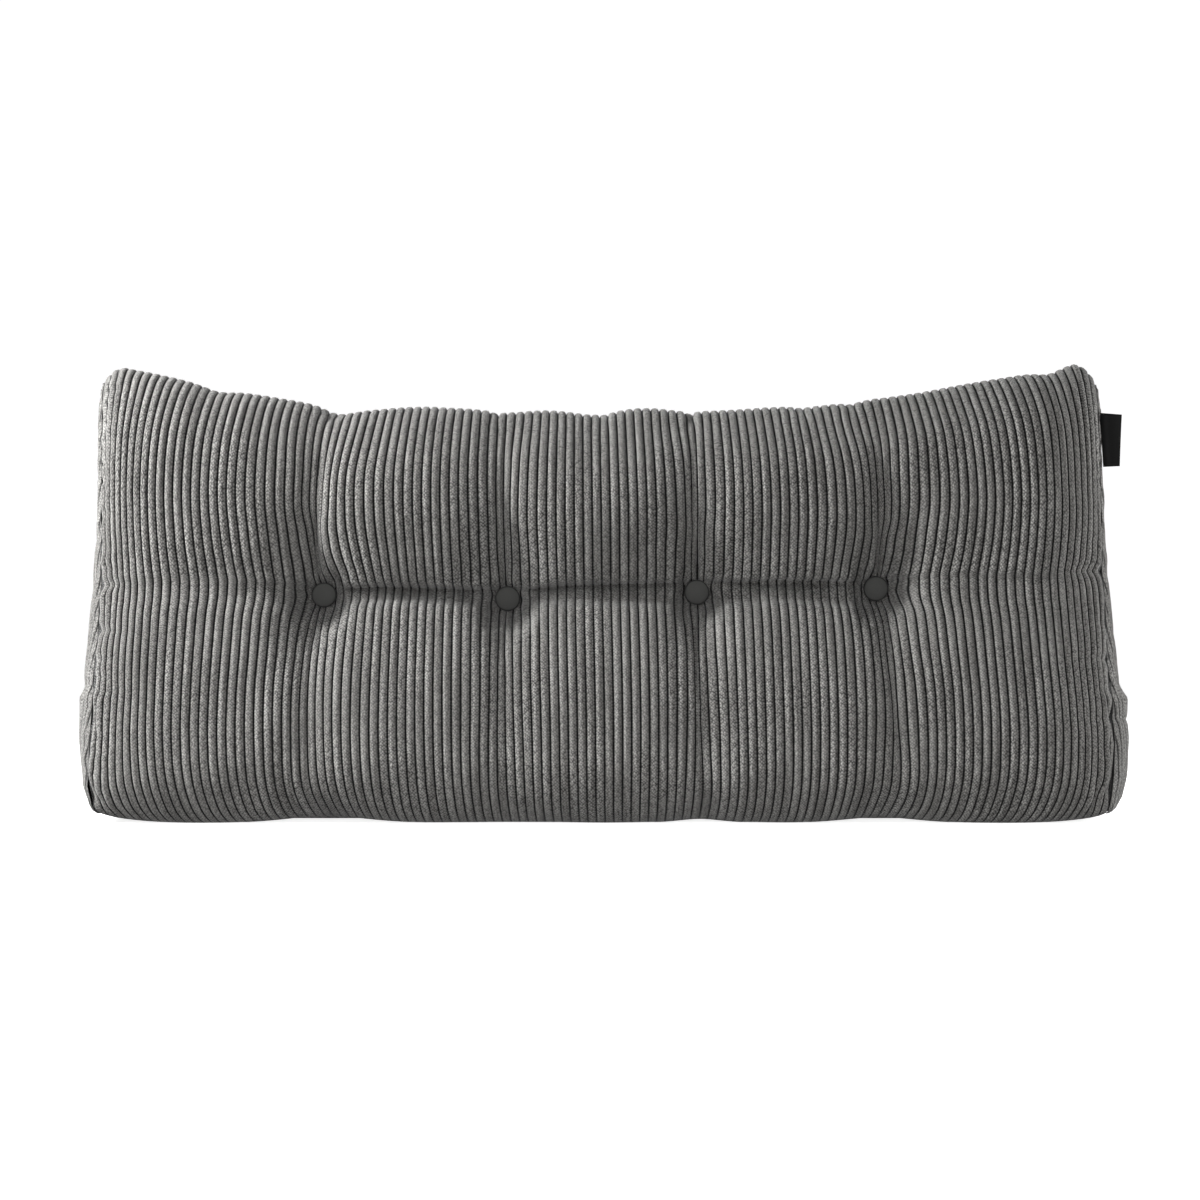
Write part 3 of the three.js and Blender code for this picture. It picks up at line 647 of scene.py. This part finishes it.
def add_sockets(tree, inputs, outputs):
    """Named inputs, with their values at first, and named outputs of a node group."""
    for name, (kind, value) in inputs.items():
        socket = tree.interface.new_socket(name, in_out="INPUT", socket_type="NodeSocket" + kind)
        if value is not None:
            socket.default_value = value
    for name, kind in outputs.items():
        tree.interface.new_socket(name, in_out="OUTPUT", socket_type="NodeSocket" + kind)
    return add_node(tree, "NodeGroupInput").outputs, add_node(tree, "NodeGroupOutput").inputs


def new_material(name, look):
    """A material whose shader has the given values, with its node tree and the shader's inputs."""
    material = bpy.data.materials.new(name)
    material.use_nodes = True
    inputs = material.node_tree.nodes["Principled BSDF"].inputs
    for word, value in look.items():
        inputs[word].default_value = value
    return material, material.node_tree, inputs


def finish_cloth(tree, inputs, colour, roughness, height, strength, distance):
    """Gives the shader its colour, its roughness and a fine relief."""
    relief = {"Strength": strength, "Distance": distance, "Height": height}
    relief = add_node(tree, "ShaderNodeBump", relief).outputs[0]
    for name, output in (("Base Color", colour), ("Roughness", roughness), ("Normal", relief)):
        tree.links.new(output, inputs[name])


def wale_distance(tree, across, pitch):
    """0 on the ridge of a wale, 1 in the groove beside it."""
    share = math_node(tree, "FRACT", math_node(tree, "DIVIDE", across, pitch))
    twice = math_node(tree, "MULTIPLY", share, 2)
    return math_node(tree, "ABSOLUTE", math_node(tree, "SUBTRACT", twice, 1))


def raised_wales_tree():
    """Geometry Nodes that raise the corduroy's wales: broad round ridges with narrow grooves between."""
    tree = bpy.data.node_groups.new("raised_wales", "GeometryNodeTree")
    inputs = {
        "Cloth": ("Geometry", None),
        "Pitch": ("Float", WALE_PITCH),
        "Height": ("Float", WALE_HEIGHT * MM),
        "Roundness": ("Float", 3.8),
        "Unevenness": ("Float", 0.16),
        "Material": ("Material", None),
    }
    given, result = add_sockets(tree, inputs, {"Cloth": "Geometry"})
    across, rib = (
        add_node(tree, "GeometryNodeInputNamedAttribute", {"Name": name}).outputs["Attribute"]
        for name in ("across", "rib")
    )
    fallen = math_node(tree, "POWER", wale_distance(tree, across, given["Pitch"]), given["Roundness"])
    ridge = math_node(tree, "SUBTRACT", 1, fallen)
    noise = add_node(tree, "ShaderNodeTexNoise", {"Scale": 38, "Detail": 1}).outputs[0]
    uneven = math_node(tree, "MULTIPLY", math_node(tree, "SUBTRACT", noise, 0.5), 2)
    uneven = math_node(tree, "MULTIPLY_ADD", uneven, given["Unevenness"], 1)
    ridge = math_node(tree, "SUBTRACT", math_node(tree, "MULTIPLY", ridge, uneven), 0.5)
    height = math_node(tree, "MULTIPLY", math_node(tree, "MULTIPLY", ridge, rib), given["Height"])
    normal = add_node(tree, "GeometryNodeInputNormal").outputs[0]
    offset = add_node(tree, "ShaderNodeVectorMath", {0: normal, "Scale": height}, operation="SCALE")
    place = {"Geometry": given["Cloth"], "Offset": offset.outputs[0]}
    place = add_node(tree, "GeometryNodeSetPosition", place)
    realize = add_node(tree, "GeometryNodeRealizeInstances", {0: place.outputs[0]})
    paint = {"Geometry": realize.outputs[0], "Material": given["Material"]}
    paint = add_node(tree, "GeometryNodeSetMaterial", paint)
    tree.links.new(paint.outputs[0], result[0])
    return tree


RAISED_WALES = raised_wales_tree()


def with_wales(name, mesh, material, **inputs):
    """The mesh with its wales raised, as a plain mesh object."""
    smooth_piece = new_object(name + "_smooth", mesh)
    modifier = smooth_piece.modifiers.new("wales", "NODES")
    modifier.node_group = RAISED_WALES
    names = {item.name: item.identifier for item in RAISED_WALES.interface.items_tree}
    for key, value in {"Material": material, **inputs}.items():
        modifier[names[key]] = value
    graph = bpy.context.evaluated_depsgraph_get()
    ribbed = bpy.data.meshes.new_from_object(smooth_piece.evaluated_get(graph), depsgraph=graph)
    bpy.data.objects.remove(smooth_piece)
    ribbed.name = name
    for spare in ("across", "rib"):
        ribbed.attributes.remove(ribbed.attributes[spare])
    return new_object(name, ribbed)


# The pile: tufts in slanting rows, painted shade in grooves and on wale sides, streaks, brushed patches;
# lengths in metres
TUFT_SPACING = 0.0025
TUFT_DARK = (0.2, 0.2, 0.2, 1)  # a tuft's darkest and lightest colours, over the pile's own
TUFT_LIGHT = (2.0, 2.0, 2.0, 1)
GROOVE_SHADE_SPAN = (0.7, 0.86)  # painted shade: the colour turns to the shade colour between these shares of the way into the groove
SHADED_SIDE_SPAN = (0.42, 0.7)  # painted shade: the side of each wale away from the lights on the left darkens between these shares of its pitch
PILE_RELIEF = (0.8, 0.0014)


def corduroy_pile_group():
    """Colour, roughness and height of the pile. The colour carries painted shade in the grooves and on
    the side of each wale away from the light.
    """
    tree = bpy.data.node_groups.new("corduroy_pile", "ShaderNodeTree")
    inputs = {
        "Cloth": ("Vector", None),
        "Pitch": ("Float", WALE_PITCH * MM),
        "Pile": ("Color", (0.106, 0.103, 0.098, 1)),
        "Brushed": ("Color", (0.17, 0.167, 0.16, 1)),
        # painted shade: the near-black colour that the grooves and the shaded side of each wale turn to
        "Painted_Shade": ("Color", (0.007, 0.007, 0.0067, 1)),
        "Grain": ("Float", 1.0),
        "Side_Shade": ("Float", 0.1),
    }
    outputs = {"Color": "Color", "Roughness": "Float", "Height": "Float"}
    given, result = add_sockets(tree, inputs, outputs)

    def noise(scales, detail):
        stretch = {"Scale": (*scales, 1), "Vector": given["Cloth"]}
        stretched = add_node(tree, "ShaderNodeMapping", stretch).outputs[0]
        inputs = {"Scale": 1, "Detail": detail, "Vector": stretched}
        return add_node(tree, "ShaderNodeTexNoise", inputs, noise_dimensions="2D").outputs[0]

    def remap(value, *spans):
        """From the first two numbers to the last two, or to 0 and 1."""
        inputs = enumerate((value, *spans))
        return add_node(tree, "ShaderNodeMapRange", inputs, interpolation_type="SMOOTHSTEP").outputs[0]

    across = add_node(tree, "ShaderNodeSeparateXYZ", {0: given["Cloth"]}).outputs[0]
    # painted shade in the grooves: 0 on the ridge, 1 deep in a groove
    groove = remap(wale_distance(tree, across, given["Pitch"]), *GROOVE_SHADE_SPAN)
    slant = {"Rotation": (0, 0, math.pi / 4), "Vector": given["Cloth"]}
    slant = add_node(tree, "ShaderNodeMapping", slant).outputs[0]
    tufts = {"Scale": 1 / TUFT_SPACING, "Randomness": 0.5, "Vector": slant}
    tufts = add_node(tree, "ShaderNodeTexVoronoi", tufts, voronoi_dimensions="2D").outputs
    shade = add_node(tree, "ShaderNodeSeparateColor", {0: tufts["Color"]}).outputs[0]
    speck = math_node(tree, "MULTIPLY_ADD", shade, 0.4, remap(tufts["Distance"], 0.15, 0.6, 0.6, 0))
    patch = remap(noise((16, 9), 3), 0.35, 0.65)
    streak = remap(noise((190, 7), 2), 0.3, 0.7)
    strength = math_node(tree, "MULTIPLY_ADD", patch, 0.4, 0.62)
    strength = math_node(tree, "MULTIPLY", strength, given["Grain"])
    share = math_node(tree, "FRACT", math_node(tree, "DIVIDE", across, given["Pitch"]))
    # painted shade: the side of each wale away from the lights on the left (its right side on the front)
    # turns towards the shade colour
    shaded_side = math_node(tree, "MULTIPLY", remap(share, *SHADED_SIDE_SPAN), given["Side_Shade"])
    colour = colour_mix(tree, streak, given["Pile"], given["Brushed"])
    colour = colour_mix(tree, shaded_side, colour, given["Painted_Shade"])
    dark = colour_mix(tree, 1.0, colour, TUFT_DARK, "MULTIPLY")
    light = colour_mix(tree, 1.0, colour, TUFT_LIGHT, "MULTIPLY")
    colour = colour_mix(tree, strength, colour, colour_mix(tree, speck, dark, light))
    # painted shade darkens the grooves
    colour = colour_mix(tree, groove, colour, given["Painted_Shade"])
    tree.links.new(colour, result["Color"])
    tree.links.new(math_node(tree, "MULTIPLY_ADD", speck, 0.12, 0.84), result["Roughness"])
    tree.links.new(math_node(tree, "MULTIPLY", speck, strength), result["Height"])
    return tree


def corduroy_material():
    look = {"Specular IOR Level": 0.15, "Sheen Weight": 0.22, "Sheen Roughness": 0.45}
    material, tree, inputs = new_material("grey_corduroy", look)
    measure = add_node(tree, "ShaderNodeUVMap", uv_map="cloth").outputs[0]
    pattern = add_node(tree, "ShaderNodeGroup", {"Cloth": measure}, node_tree=corduroy_pile_group())
    finish_cloth(tree, inputs, *pattern.outputs, *PILE_RELIEF)
    return material


front_corduroy = corduroy_material()
wrap = with_wales("cushion_wrap_cloth", smooth_mesh, front_corduroy)
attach(wrap, "root")
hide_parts("cushion_wrap")

# Side panels: a triangle of the same corduroy closes each side, with its wales upright. It is sewn to
# the wrap all round, and the filling pushes it out, most of all low down.
PANEL_WALE_HEIGHT = 2.2
PANEL_SEAM = 0.5  # the panel lies this far outside the wrap's edge
PANEL_BACKING = 0.4  # thickness without the pile, as at the seam
PANEL_THICKNESS = 1.4
PANEL_EDGE = 5  # it is whole this far from the seam
PANEL_WALES = range(-22, 12)  # counted from the upright line below, towards the back
PANEL_ANCHOR_Y = 64
PANEL_TOP = 0.3  # its last row lies this far below the seam's highest point
PUCKER_DEPTH = 0.8  # small puckers beside the seam
PUCKER_STRETCH = 0.6
PUCKER_MIDDLE = 6
PUCKER_REACH = 12
PANEL_ROWS = (9.5, 10.5, 12, 15, 20, *range(26, 100, 7), *range(100, 160, 3), *range(162, 480, 8))
ARC_SAMPLES = 161


def panel_sheet(side):
    """Smooth outer face of a side panel: a grid of points with the wales' count and fade at each."""
    outline = side_outline(wrap_points, side)
    top = outline[:, 1].max()
    heights = [z for z in PANEL_ROWS if z < top - 1] + [top - PANEL_TOP]
    cloth = (np.array(PANEL_WALES)[:, None] + np.array(WALE_COLUMNS)[None, :]).ravel() * WALE_PITCH
    grid = []
    fades = []
    for z in heights:
        front, back = (float(v) for v in depth_at(outline, z))
        angle = np.linspace(math.pi, 0, ARC_SAMPLES)
        y = (front + back) / 2 + (back - front) / 2 * np.cos(angle)
        out = panel_bulge(side, y, np.full_like(y, z), outline)
        arc = np.concatenate([[0], np.cumsum(np.hypot(np.diff(y), np.diff(out)))])
        anchor = np.interp(min(max(PANEL_ANCHOR_Y, front), back), y, arc)
        place = np.clip(cloth + anchor, 0, arc[-1])
        to_seam = np.minimum(place, arc[-1] - place)
        row_y = np.interp(place, arc, y)
        row_z = np.full_like(row_y, z)
        whole = smooth_step(to_seam / PANEL_EDGE)
        pucker = bump((to_seam - PUCKER_MIDDLE) / PUCKER_REACH) * smooth_step(to_seam / 4)
        wave = ripple(row_z, row_y * PUCKER_STRETCH, GATHER_LENGTHS, seed=21 + side)
        row_out = np.interp(place, arc, out) + PUCKER_DEPTH * wave * pucker
        thickness = PANEL_BACKING + (PANEL_THICKNESS - PANEL_BACKING) * whole
        x = side * (seam_x(side, row_y, z) + PANEL_SEAM + row_out + thickness) + lean_at(z)
        grid.append(np.column_stack([x, row_y, row_z]))
        fades.append(whole)
    return np.array(grid), cloth, np.array(fades)


for side, name in ((-1, "side_panel_left"), (1, "side_panel_right")):
    outer, cloth, fades = panel_sheet(side)
    rows, columns = outer.shape[:2]
    inner = outer - np.array([side * PANEL_BACKING, 0, 0])
    count = rows * columns
    quads = grid_faces(rows, columns)
    places = np.arange(count).reshape(rows, columns)
    rim = np.concatenate([places[0], places[1:, -1], places[-1, -2::-1], places[-2:0:-1, 0]])
    wall = np.stack([rim, rim + count, np.roll(rim, -1) + count, np.roll(rim, -1)], axis=1)
    faces = np.concatenate([quads, quads[:, ::-1] + count, wall])
    points = np.concatenate([outer.reshape(-1, 3), inner.reshape(-1, 3)])
    mesh = new_mesh(name + "_smooth", points, faces if side > 0 else faces[:, ::-1])
    across = np.tile(cloth, 2 * rows)
    along = np.tile(np.repeat(outer[:, 0, 2], columns), 2)
    rib = np.concatenate([fades.ravel(), np.zeros(count)])
    give_cloth_measure(mesh, across, along, rib)
    tidy = bmesh.new()
    tidy.from_mesh(mesh)
    bmesh.ops.remove_doubles(tidy, verts=tidy.verts, dist=0.02 * MM)
    bmesh.ops.dissolve_degenerate(tidy, edges=tidy.edges, dist=0.01 * MM)
    tidy.to_mesh(mesh)
    tidy.free()
    panel = with_wales(name + "_cloth", mesh, front_corduroy, Height=PANEL_WALE_HEIGHT * MM)
    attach(panel, "root")
    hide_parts(name)

# Covered buttons: a domed shell wrapped in smooth dark grey cloth, tied through the filling so that each
# sits deep in the tuck.
BUTTON_HEIGHT = 5.8
BUTTON_FIT = 0.985  # its built radius over its full radius
BUTTON_SEGMENTS = 72
BUTTON_PLEATS = 18  # the cloth is pleated where it turns under the edge
BUTTON_PLEAT_DEPTH = 0.012
BUTTON_PLEAT_PLACE = 0.15
BUTTON_PLEAT_REACH = 0.25
RIM_SHADOW_START = 0.87  # painted shadow: the cloth darkens to near black from this share of the radius to the next, where the button meets the cloth
RIM_SHADOW_FULL = 0.95
# The button's outline from its seat to its crown: shares of its radius and of its height
BUTTON_PROFILE = (
    (0.93, 0), (0.985, 0.08), (1, 0.25), (1, 0.36), (0.985, 0.47), (0.95, 0.57),
    (0.89, 0.67), (0.8, 0.77), (0.68, 0.86), (0.52, 0.93), (0.35, 0.975), (0.17, 0.995),
)


def turned_outward(mesh):
    """The mesh with every face turned outward, and with no face of more than four corners."""
    work = bmesh.new()
    work.from_mesh(mesh)
    bmesh.ops.triangulate(work, faces=[face for face in work.faces if len(face.verts) > 4])
    bmesh.ops.recalc_face_normals(work, faces=work.faces)
    work.to_mesh(mesh)
    work.free()
    return mesh


def thread_waves(tree, direction, scale, distortion):
    """Fine bands across the given direction, like the threads of a woven cloth."""
    place = add_node(tree, "ShaderNodeTexCoord").outputs["Object"]
    inputs = {"Scale": scale, "Distortion": distortion, "Vector": place}
    return add_node(tree, "ShaderNodeTexWave", inputs, bands_direction=direction).outputs[1]


def button_cloth_material():
    look = {"Specular IOR Level": 0.25, "Sheen Weight": 0.2, "Sheen Roughness": 0.5}
    material, tree, inputs = new_material("dark_button_cloth", look)
    threads = math_node(tree, "MULTIPLY", *(thread_waves(tree, turn, 420, 0.6) for turn in "XZ"))
    place = add_node(tree, "ShaderNodeTexCoord").outputs["Object"]
    speckle = add_node(tree, "ShaderNodeTexNoise", {"Scale": 900, "Vector": place}).outputs[0]
    share = math_node(tree, "MULTIPLY_ADD", threads, 0.5, math_node(tree, "MULTIPLY", speckle, 0.5))
    colour = colour_mix(tree, share, (0.048, 0.048, 0.046, 1), (0.078, 0.078, 0.074, 1))
    # painted shadow: the button's edge and sides, marked by the attribute rim, turn nearly black, as if
    # shaded where the button sits in the cloth
    rim = add_node(tree, "ShaderNodeAttribute", attribute_name="rim").outputs["Fac"]
    colour = colour_mix(tree, rim, colour, (0.006, 0.006, 0.006, 1))
    roughness = math_node(tree, "MULTIPLY_ADD", speckle, 0.15, 0.72)
    finish_cloth(tree, inputs, colour, roughness, threads, 0.35, 0.0002)
    return material


dark_button_cloth = button_cloth_material()
for name, (button_x, button_z, _) in BUTTONS.items():
    turn = np.linspace(0, 2 * math.pi, BUTTON_SEGMENTS, endpoint=False)
    points = [(button_x, BUTTON_SEAT_Y, button_z)]
    for share, height in BUTTON_PROFILE:
        pleat = bump((height - BUTTON_PLEAT_PLACE) / BUTTON_PLEAT_REACH)
        pleated = 1 + BUTTON_PLEAT_DEPTH * np.cos(BUTTON_PLEATS * turn) * pleat
        radius = BUTTON_RADIUS * BUTTON_FIT * share * pleated
        y = np.full_like(turn, BUTTON_SEAT_Y - height * BUTTON_HEIGHT)
        points += list(zip(button_x + radius * np.cos(turn), y, button_z + radius * np.sin(turn)))
    points.append((button_x, BUTTON_SEAT_Y - BUTTON_HEIGHT, button_z))
    step = np.arange(BUTTON_SEGMENTS)
    pairs = np.stack([step, np.roll(step, -1)], axis=1)
    rings = grid_faces(len(BUTTON_PROFILE), BUTTON_SEGMENTS, round_columns=True)
    last = len(points) - 1
    faces = [(0, a, b) for a, b in pairs + 1]
    faces += list(rings[:, [0, 3, 2, 1]] + 1)
    faces += [(a, last, b) for a, b in pairs + last - BUTTON_SEGMENTS]
    mesh = turned_outward(new_mesh(name + "_cloth", points, faces))
    radii = np.hypot(*(np.array(points)[:, ::2] - (button_x, button_z)).T) / BUTTON_RADIUS
    # the attribute rim marks where painted shadow darkens the button's edge and sides
    add_attribute(mesh, "rim", smooth_step((radii - RIM_SHADOW_START) / (RIM_SHADOW_FULL - RIM_SHADOW_START)))
    mesh.materials.append(dark_button_cloth)
    button = new_object(name + "_cloth", mesh)
    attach(button, "root")
    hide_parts(name)

# Side tab: a blank loop of black woven tape, folded and caught in the right front seam near the top.
TAB_LOW = np.array([551.6, 386.5, 18.4])  # x and z of its root, and its width
TAB_HIGH = np.array([551.2, 447.5, 24.8])
TAB_LAYER = 0.5
TAB_OPEN = 0.5
TAB_ROWS = 28
TAB_BOW = 0.8  # halfway up, it bows towards the back
TAB_MARGIN = 1.4  # from its middle to the front and the back of its solid
TAB_CURL = 1.2  # its fold curls back, the more so the higher up
TAB_CURL_START = 0.3
TAB_TILT = 0.045  # its lower edge slopes up to the fold, and its upper edge down
TAB_TILT_FALL = 2.6


def tape_material():
    look = {"Specular IOR Level": 0.2, "Sheen Weight": 0.04}
    material, tree, inputs = new_material("black_tape", look)
    ribs = thread_waves(tree, "Z", 330, 0.3)
    colour = colour_mix(tree, ribs, (0.003, 0.003, 0.003, 1), (0.008, 0.008, 0.008, 1))
    roughness = math_node(tree, "MULTIPLY_ADD", ribs, 0.12, 0.42)
    finish_cloth(tree, inputs, colour, roughness, ribs, 0.4, 0.0002)
    return material


def tab_section(width):
    """The folded tape seen from above, as x and y offsets: out along the front and back behind it."""
    middle = width - TAB_LAYER - TAB_OPEN / 2
    bend = np.linspace(-math.pi / 2, math.pi / 2, 9)
    sides = []
    for half in (TAB_LAYER + TAB_OPEN / 2, TAB_OPEN / 2):
        fold = [(middle + half * math.cos(b), half * math.sin(b)) for b in bend]
        sides.append([(0, -half), (width / 2, -half), *fold, (width / 2, half), (0, half)])
    return np.array(sides[0] + sides[1][::-1])


tab_front, tab_back = (corner[1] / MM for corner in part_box("side_tab"))
points = []
for i in range(TAB_ROWS + 1):
    share = i / TAB_ROWS
    root_x, root_z, width = TAB_LOW + (TAB_HIGH - TAB_LOW) * share
    ring = tab_section(width)
    y = tab_front + TAB_MARGIN + (tab_back - tab_front - 2 * TAB_MARGIN) * share
    y = y + TAB_BOW * math.sin(math.pi * share) + ring[:, 1]
    y = y + TAB_CURL * (ring[:, 0] / width) ** 2 * (TAB_CURL_START + share)
    z = root_z + TAB_TILT * ring[:, 0] * (1 - TAB_TILT_FALL * share)
    points.append(np.column_stack([root_x + ring[:, 0], y, z]))
size = len(points[0])
faces = list(grid_faces(TAB_ROWS + 1, size, round_columns=True))
faces += [range(size)[::-1], range(TAB_ROWS * size, (TAB_ROWS + 1) * size)]
mesh = turned_outward(new_mesh("side_tab_tape", np.concatenate(points), faces))
mesh.materials.append(tape_material())
tab = new_object("side_tab_tape", mesh)
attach(tab, "root")
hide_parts("side_tab")

# Studio: a pale floor that curves up into a round wall, a broad light from the upper left, soft fill and
# a camera level with the middle of the pillow.
SWEEP_FLAT = 6.0  # the floor is flat this far from the middle
SWEEP_BEND = 1.4
SWEEP_TOP = 3.4
SWEEP_STEPS = 16
SWEEP_SEGMENTS = 96


def sweep_floor():
    bend = np.linspace(0, math.pi / 2, SWEEP_STEPS)
    radius = np.concatenate([SWEEP_FLAT + SWEEP_BEND * np.sin(bend), [SWEEP_FLAT + SWEEP_BEND]])
    height = np.concatenate([SWEEP_BEND * (1 - np.cos(bend)), [SWEEP_TOP]])
    turn = np.linspace(0, 2 * math.pi, SWEEP_SEGMENTS, endpoint=False)
    outers = (np.outer(radius, np.cos(turn)), np.outer(radius, np.sin(turn)))
    points = np.stack([*outers, np.outer(height, np.ones_like(turn))], axis=-1)
    faces = [range(SWEEP_SEGMENTS)]
    rings = grid_faces(len(radius), SWEEP_SEGMENTS, round_columns=True)
    faces += list(rings[:, [0, 3, 2, 1]])
    mesh = new_mesh("studio_sweep", points.reshape(-1, 3) / MM, faces)
    look = {"Base Color": (0.9, 0.9, 0.9, 1), "Roughness": 1, "Specular IOR Level": 0}
    look.update({"Emission Color": (1, 1, 1, 1), "Emission Strength": 0.85})
    mesh.materials.append(new_material("pale_sweep", look)[0])
    sweep = new_object("studio_sweep", mesh)
    sweep.visible_diffuse = False
    sweep.visible_glossy = False
    return sweep


sweep_floor()

world = bpy.data.worlds.new("studio")
world.use_nodes = True
surround = world.node_tree.nodes["Background"].inputs
surround["Color"].default_value = (1, 1, 1, 1)
surround["Strength"].default_value = 0.17
bpy.context.scene.world = world


def soft_light(name, place, target, size, power):
    data = bpy.data.lights.new(name, "AREA")
    data.shape = "RECTANGLE"
    data.size, data.size_y = size
    data.energy = power
    light = new_object(name, data)
    light.location = place
    aim = Vector(target) - Vector(place)
    light.rotation_euler = aim.to_track_quat("-Z", "Y").to_euler()
    light.visible_camera = False


soft_light("key", (-0.5, -2.25, 1.45), (-0.05, 0, 0.25), (1.0, 0.9), 13.5)
soft_light("left_soft", (-1.2, -0.8, 1.25), (-0.4, 0, 0.4), (0.4, 0.6), 3.9)
soft_light("left_strip", (-1.55, -0.2, 1.02), (-0.52, -0.02, 0.4), (0.35, 0.9), 72)
soft_light("right_strip", (1.7, 0.1, 0.5), (0.5, -0.02, 0.25), (0.3, 1.0), 22)
soft_light("low_fill", (-0.3, -1.6, 0.05), (0, 0, 0.1), (2.0, 0.3), 2.5)
soft_light("back_fill", (0.3, 2.3, 1.7), (0, 0.1, 0.25), (2.0, 1.0), 40)
soft_light("floor_bounce", (0, -0.7, 0.01), (0, -0.2, 0.2), (2.2, 0.7), 5.9)

CAMERA_PLACE = (-0.0044, -3.6, 0.2395)
FRAME_WIDTH = 1.32  # the frame's width where it passes through the origin
camera_data = bpy.data.cameras.new("photo_camera")
camera_data.sensor_width = 36
camera_data.lens = camera_data.sensor_width * -CAMERA_PLACE[1] / FRAME_WIDTH
camera = new_object("photo_camera", camera_data)
camera.location = CAMERA_PLACE
camera.rotation_euler = (math.pi / 2, 0, 0)
bpy.context.scene.camera = camera
bpy.context.scene.view_settings.view_transform = "Standard"
